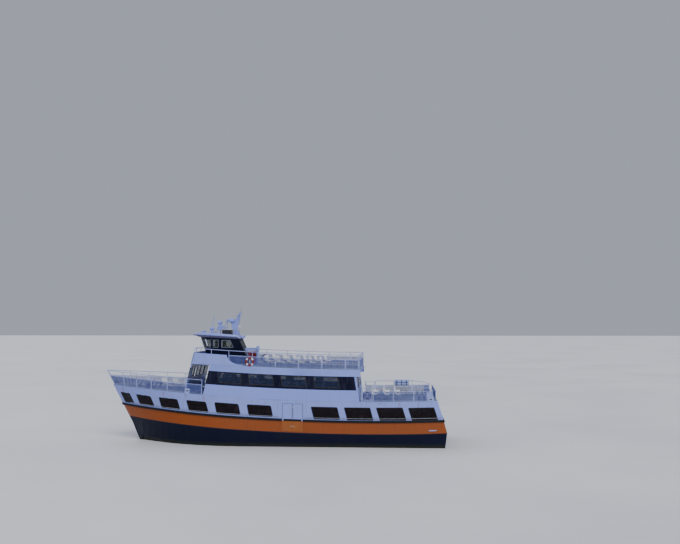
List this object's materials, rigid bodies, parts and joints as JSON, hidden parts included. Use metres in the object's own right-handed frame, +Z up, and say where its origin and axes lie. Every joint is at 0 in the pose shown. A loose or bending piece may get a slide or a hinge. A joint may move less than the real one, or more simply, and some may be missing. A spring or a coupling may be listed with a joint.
{
  "type": "passenger ferry",
  "caption": "Steel double-deck passenger ferry with an open sun deck, raked pilothouse, mast, mesh rails, boarding doors, screws and rudders",
  "frame": {"origin": "at the waterline, on the centre line, near the middle of the length; z = 0 is the water surface", "axes": "+X towards the bow, +Y to port, +Z up"},
  "size_m": [26.8587, 7.34, 12.4103],
  "materials": {
    "white_paint": "semi-gloss bluish white marine paint",
    "hull_paint": "near-black navy hull paint, reddish antifouling below the waterline",
    "orange_paint": "semi-gloss orange-gold paint",
    "navy_paint": "semi-gloss dark navy paint",
    "guard_rubber": "scuffed black rubber",
    "deck_paint": "matt non-slip grey deck paint",
    "gear_steel": "machined steel",
    "bronze": "cast bronze",
    "engine_paint": "grey-green engine enamel",
    "rail_steel": "bluish white painted steel tube and wire mesh",
    "bench_plastic": "white moulded plastic"
  },
  "bodies": {
    "ferry": {"hull": "hull_paint", "engines": "engine_paint", "shaft_port": "gear_steel", "shaft_stbd": "gear_steel", "main_deck": "deck_paint", "sheer_strake_port": "orange_paint", "sheer_strake_stbd": "orange_paint", "guard_aft": "guard_rubber", "stem_post": "white_paint", "guard_fore": "guard_rubber", "main_side_port": "white_paint", "main_side_stbd": "white_paint", "stern_wall": "white_paint", "upper_deck": "deck_paint", "main_stair": "deck_paint", "sun_stair": "deck_paint", "upper_side_port": "white_paint", "upper_side_stbd": "white_paint", "windscreen": "white_paint", "cabin_front": "white_paint", "cabin_back": "white_paint", "sun_deck": "white_paint", "sun_bulwark_port": "white_paint", "sun_bulwark_stbd": "white_paint", "sun_bulwark_front": "white_paint", "sun_rail_port": "rail_steel", "sun_rail_stbd": "rail_steel", "bow_rail_port": "rail_steel", "bow_rail_stbd": "rail_steel", "aft_rail_port": "rail_steel", "aft_rail_stbd": "rail_steel", "stern_rail": "rail_steel", "sun_rail_aft": "rail_steel", "pilothouse": "navy_paint", "mast": "white_paint", "pilothouse_roof": "white_paint", "stair_hood": "white_paint", "deck_vent": "white_paint", "sun_benches_port": "bench_plastic", "sun_benches_stbd": "bench_plastic", "aft_benches_port": "bench_plastic", "aft_benches_stbd": "bench_plastic", "bow_bench": "bench_plastic", "life_float": "white_paint"},
    "propeller_port": {"propeller_port": "bronze"},
    "propeller_stbd": {"propeller_stbd": "bronze"},
    "rudder_port": {"rudder_port": "gear_steel"},
    "rudder_stbd": {"rudder_stbd": "gear_steel"},
    "boarding_door_fore_port": {"boarding_door_fore_port": "white_paint"},
    "boarding_door_fore_stbd": {"boarding_door_fore_stbd": "white_paint"},
    "boarding_door_aft_port": {"boarding_door_aft_port": "white_paint"},
    "boarding_door_aft_stbd": {"boarding_door_aft_stbd": "white_paint"},
    "windscreen_door": {"windscreen_door": "white_paint"},
    "cabin_front_door": {"cabin_front_door": "navy_paint"},
    "cabin_back_door": {"cabin_back_door": "navy_paint"},
    "gate_port": {"gate_port": "rail_steel"},
    "gate_stbd": {"gate_stbd": "rail_steel"},
    "pilothouse_door": {"pilothouse_door": "navy_paint"},
    "searchlight": {"searchlight": "white_paint"}
  },
  "joints": [
    {"name": "propeller_port_spin", "type": "hinge", "parent": "ferry", "child": "propeller_port", "pos_m": [-11.55, 1.4, -1.33], "axis": [0.9931, 0, 0.1175], "continuous": true},
    {"name": "propeller_stbd_spin", "type": "hinge", "parent": "ferry", "child": "propeller_stbd", "pos_m": [-11.55, -1.4, -1.33], "axis": [0.9931, 0, 0.1175], "continuous": true},
    {"name": "rudder_port_turn", "type": "hinge", "parent": "ferry", "child": "rudder_port", "pos_m": [-12.45, 1.4, -1.3], "axis": [0, 0, 1], "range_deg": [-35, 35]},
    {"name": "rudder_stbd_turn", "type": "hinge", "parent": "ferry", "child": "rudder_stbd", "pos_m": [-12.45, -1.4, -1.3], "axis": [0, 0, 1], "range_deg": [-35, 35]},
    {"name": "boarding_fore_port_turn", "type": "hinge", "parent": "ferry", "child": "boarding_door_fore_port", "pos_m": [-1.236, 3.555, 2.1], "axis": [0, 0, 1], "range_deg": [0, 90]},
    {"name": "boarding_aft_port_turn", "type": "hinge", "parent": "ferry", "child": "boarding_door_aft_port", "pos_m": [-2.784, 3.555, 2.1], "axis": [0, 0, -1], "range_deg": [0, 90]},
    {"name": "boarding_fore_stbd_turn", "type": "hinge", "parent": "ferry", "child": "boarding_door_fore_stbd", "pos_m": [-1.236, -3.555, 2.1], "axis": [0, 0, -1], "range_deg": [0, 90]},
    {"name": "boarding_aft_stbd_turn", "type": "hinge", "parent": "ferry", "child": "boarding_door_aft_stbd", "pos_m": [-2.784, -3.555, 2.1], "axis": [0, 0, 1], "range_deg": [0, 90]},
    {"name": "windscreen_door_turn", "type": "hinge", "parent": "ferry", "child": "windscreen_door", "pos_m": [6.5935, 0.384, 3.977], "axis": [-0.2425, 0, 0.9701], "range_deg": [0, 95]},
    {"name": "cabin_front_door_turn", "type": "hinge", "parent": "ferry", "child": "cabin_front_door", "pos_m": [4.7466, 0.394, 3.898], "axis": [-0.2087, 0, 0.978], "range_deg": [0, 95]},
    {"name": "cabin_back_door_turn", "type": "hinge", "parent": "ferry", "child": "cabin_back_door", "pos_m": [-6.9528, 0.394, 3.467], "axis": [-0.1451, 0, -0.9894], "range_deg": [0, 100]},
    {"name": "gate_port_turn", "type": "hinge", "parent": "ferry", "child": "gate_port", "pos_m": [-7.18, 3.5592, 3.9], "axis": [0, 0, 1], "range_deg": [0, 95]},
    {"name": "gate_stbd_turn", "type": "hinge", "parent": "ferry", "child": "gate_stbd", "pos_m": [-7.18, -3.5592, 3.9], "axis": [0, 0, -1], "range_deg": [0, 95]},
    {"name": "pilothouse_door_turn", "type": "hinge", "parent": "ferry", "child": "pilothouse_door", "pos_m": [4.044, -0.845, 7], "axis": [0, 0, 1], "range_deg": [0, 95]},
    {"name": "searchlight_pan", "type": "hinge", "parent": "ferry", "child": "searchlight", "pos_m": [4.2, 0, 8.95], "axis": [0, 0, 1], "range_deg": [-170, 170]}
  ],
  "couplings": [
    {"joint": "rudder_stbd_turn", "follows": "rudder_port_turn", "ratio": 1}
  ]
}
